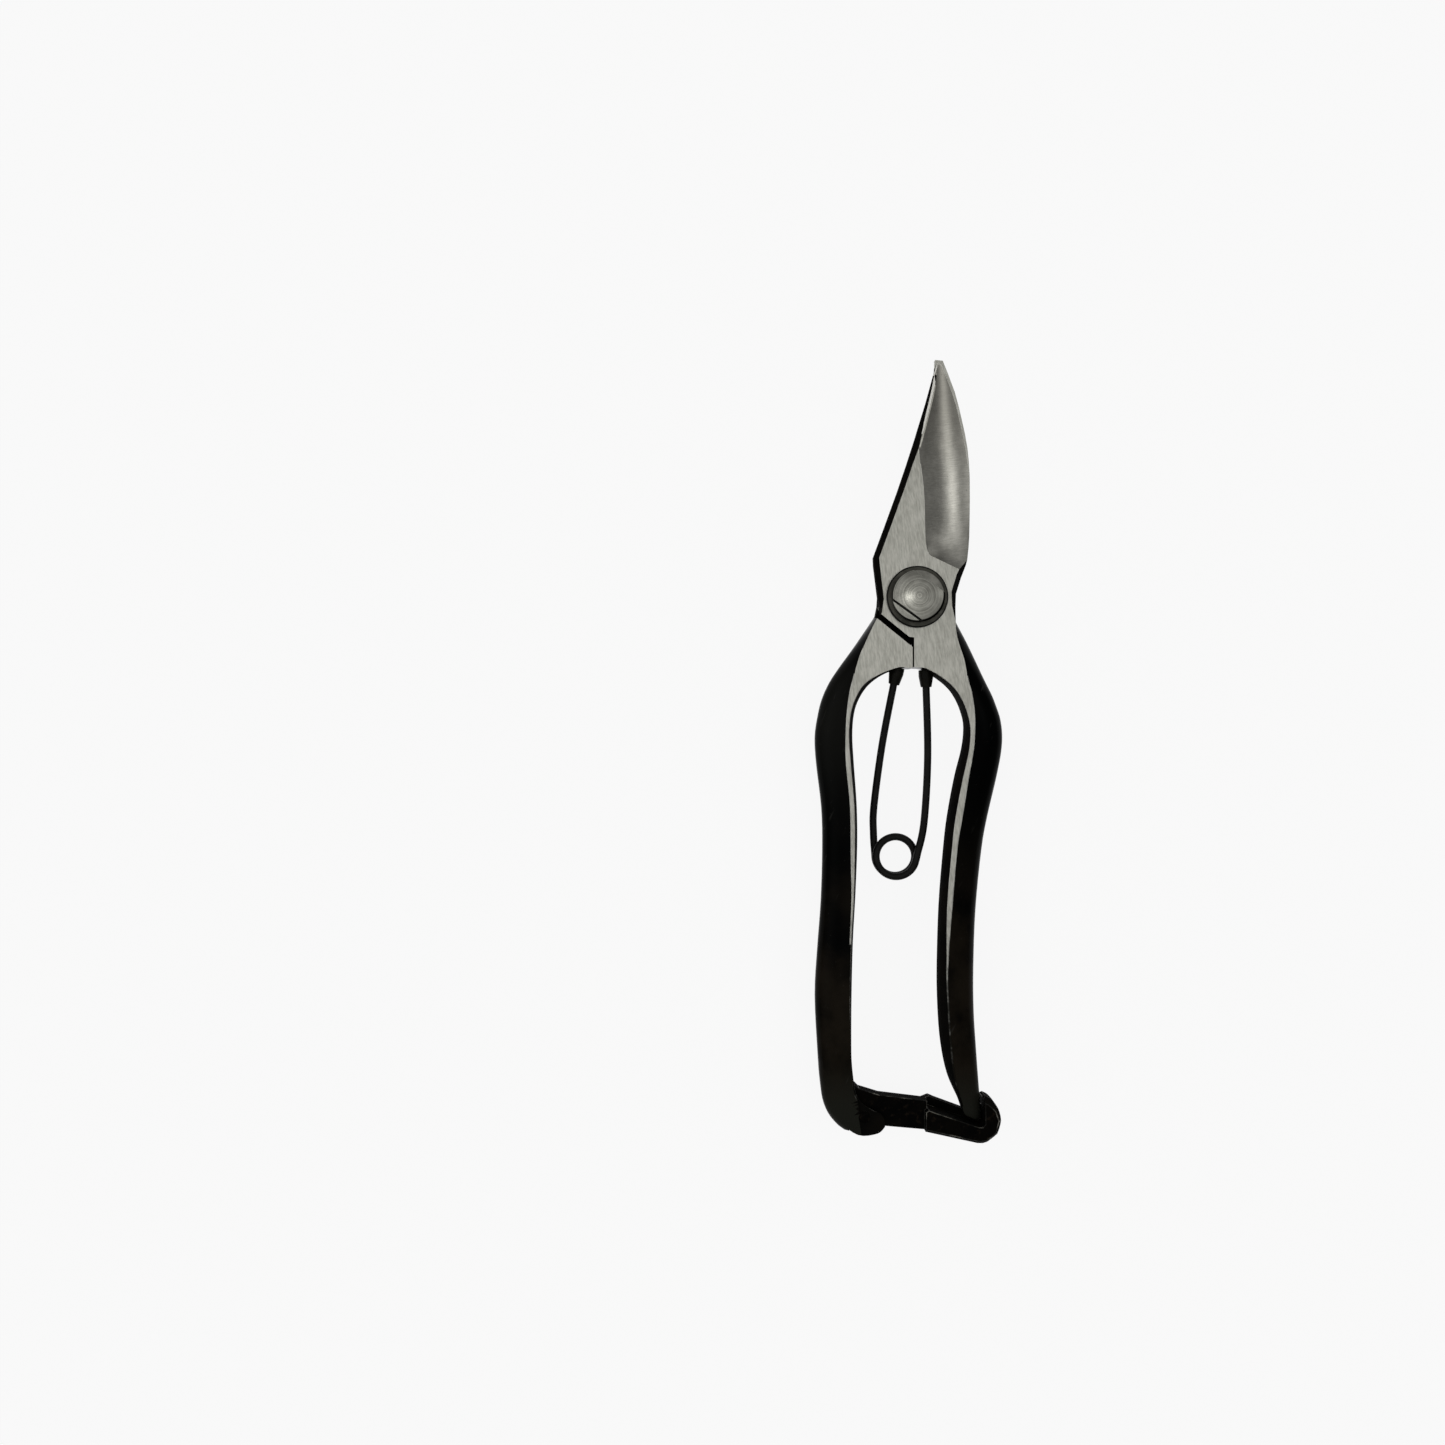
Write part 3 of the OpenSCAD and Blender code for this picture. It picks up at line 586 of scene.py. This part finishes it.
coil = [coil_point(i / COIL_STEPS) for i in range(COIL_STEPS + 1)]
left_leg = smooth_row([(x, y, -z * COIL_RISE / 2) for x, y, z in LEFT_LEG] + [coil[0]], 12)
right_leg = smooth_row([coil[-1]] + [(x, y, z * COIL_RISE / 2) for x, y, z in RIGHT_LEG], 12)
route = [tip(LEFT_MOUTH, LEFT_TURN)] + left_leg + coil[1:-1] + right_leg + [tip(RIGHT_MOUTH, RIGHT_TURN)]
path = bpy.data.meshes.new("spring_path")
path.from_pydata([p / 1000 + Vector((0, 0, LIFT)) for p in route],
                 [(i, i + 1) for i in range(len(route) - 1)], [])
spring = bpy.data.objects.new("spring_wire", path)
bpy.context.scene.collection.objects.link(spring)
wire = spring.modifiers.new("wire", "NODES")
wire.node_group, inputs = drawn_wire()
wire[inputs["Diameter"]] = WIRE_D / 1000
wire[inputs["Sides"]] = 20
wire[inputs["Finish"]] = spring_steel()
drawn = bpy.context.evaluated_depsgraph_get()
spring_mesh = bpy.data.meshes.new_from_object(spring.evaluated_get(drawn))
spring.modifiers.clear()
spring.data = spring_mesh
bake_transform(spring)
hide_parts("spring_coil_leg", "spring_left_leg")


# CATCH AND RIVET
# Forged catch on the left foot: a tongue on a rivet, a rough waist, and a hooked end that holds
# the right handle's tail. Blackened, with the rivet's dressed ends flush in the foot.

def rough_black():
    """Blackened forging scale with brown flecks and a lumpy surface."""
    steel, shader, place = begin("rough_black", Specular_IOR_Level=0.015)
    cloud = place.noise(170, 4, 0.65)
    scale = place.noise(700, 4, 0.65)
    lump = place.noise(240, 3, 0.55, at=(5, 1, 0))
    colour = cloud.between(0.35, 0.7).mix((0.0009, 0.0009, 0.0009), (0.0028, 0.0022, 0.0016))
    colour = (scale.between(0.54, 0.7) * 0.6).mix(colour, (0.0160, 0.0112, 0.0075))
    feed(shader, Base_Color=colour, Roughness=0.36 + scale * 0.25,
         Normal=(lump * 0.7 + scale * 0.3).bump(0.00025, 0.6))
    return steel


def rubbed_black():
    """The same scale where it is rubbed thin along an edge."""
    steel, shader, place = begin("rubbed_black", Metallic=0.8)
    patch = place.noise(260, 4, 0.6)
    grit = place.noise(1500, 2, 0.5)
    colour = patch.between(0.45, 0.68).mix((0.008, 0.0076, 0.0064), (0.22, 0.212, 0.18))
    feed(shader, Base_Color=colour, Roughness=0.34 + grit * 0.2, Normal=grit.bump(0.00002, 0.4))
    return steel


def catch_face(normal, flat, x, y, z):
    """0 the forged faces, 2 the dull walls."""
    return 0 if abs(normal.z) > 0.75 else 2


ROUGH = [rough_black(), rubbed_black(), FINISHES[3]]
catch = forged("catch_arm", "catch_forging", ROUGH, catch_face, 0.00016, 24, rubbed=1,
               worn=lambda finishes, x, y, z: 1 if len(finishes) == 2 and z > 0 else 0.4)
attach(catch, "catch")
rivet = forged("catch_rivet", "catch_rivet_dressed", ROUGH, lambda *_: 0, 0.00012, 28)
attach(rivet, "counter_side")


# FLOOR, LIGHT AND CAMERA
# A white table top that keeps a faint shadow, a soft studio dome with its bright side to the
# right, and a camera straight above the table.

TABLE_GLOW, HORIZON = 0.9, 0.94  # how far the table is lit by itself, and the sky as bright as it
bpy.context.scene.view_settings.view_transform = "Standard"
floor_mesh = bpy.data.meshes.new("table_top")
floor_mesh.from_pydata([(x, y, -0.0001) for x, y in ((-3, -3), (3, -3), (3, 3), (-3, 3))], [], [(0, 1, 2, 3)])
floor = bpy.data.objects.new("table_top", floor_mesh)
bpy.context.scene.collection.objects.link(floor)
white, shader, place = begin("white_table", Base_Color=(0.86, 0.86, 0.86, 1), Roughness=0.9)
light_path = white.node_tree.nodes.new("ShaderNodeLightPath")
seen = (Value(light_path.outputs["Is Camera Ray"]) + Value(light_path.outputs["Is Glossy Ray"])
        + Value(light_path.outputs["Is Transmission Ray"]))
glow = place.node("ShaderNodeEmission", {"Color": (1, 1, 1, 1), "Strength": 1.0})
share = seen * TABLE_GLOW
table = place.node("ShaderNodeMixShader", {0: share.math("MINIMUM", share, TABLE_GLOW),
                                           1: Value(shader.outputs[0]), 2: glow})
white.node_tree.links.new(table.socket, white.node_tree.nodes["Material Output"].inputs["Surface"])
floor_mesh.materials.append(white)

dome = bpy.data.worlds.new("studio_dome")
bpy.context.scene.world = dome
dome.use_nodes = True
tree = dome.node_tree
way = Value(tree.nodes.new("ShaderNodeTexCoord").outputs["Generated"])


def lamp(direction, narrow):
    aim = Vector(direction).normalized()
    near = way.along(aim)
    return near.math("MAXIMUM", near, 0.0) ** narrow


level = (0.28 + lamp((0, 0, 1), 12) * 0.7 + lamp((0.62, 0.17, 0.765), 80) * 1.5
         + lamp((0.55, 0.46, 0.7), 60) * 0.85 + lamp((0.4, 0.66, 0.64), 70) * 0.12
         + lamp((-0.77, 0.12, 0.63), 14) * 1.1 + lamp((-0.0175, 0.073, 0.997), 900) * 5)
camera_ray = Value(tree.nodes.new("ShaderNodeLightPath").outputs["Is Camera Ray"])
strength = level * (1 - camera_ray) + camera_ray * HORIZON
tree.links.new(strength.socket, tree.nodes["Background"].inputs["Strength"])
tree.nodes["Background"].inputs["Color"].default_value = (1, 1, 1, 1)

IMAGE_MM, EYE_MM = 370.5, 350  # width that the image takes in, and the eye's height over the facets
camera = bpy.data.cameras.new("overhead")
camera.sensor_width = 36
camera.lens = camera.sensor_width * EYE_MM / IMAGE_MM
camera.clip_start = 0.01
eye = bpy.data.objects.new("overhead", camera)
bpy.context.scene.collection.objects.link(eye)
eye.location = (-0.0499, -0.0322, LIFT + LAYER + EYE_MM / 1000)
bpy.context.scene.camera = eye
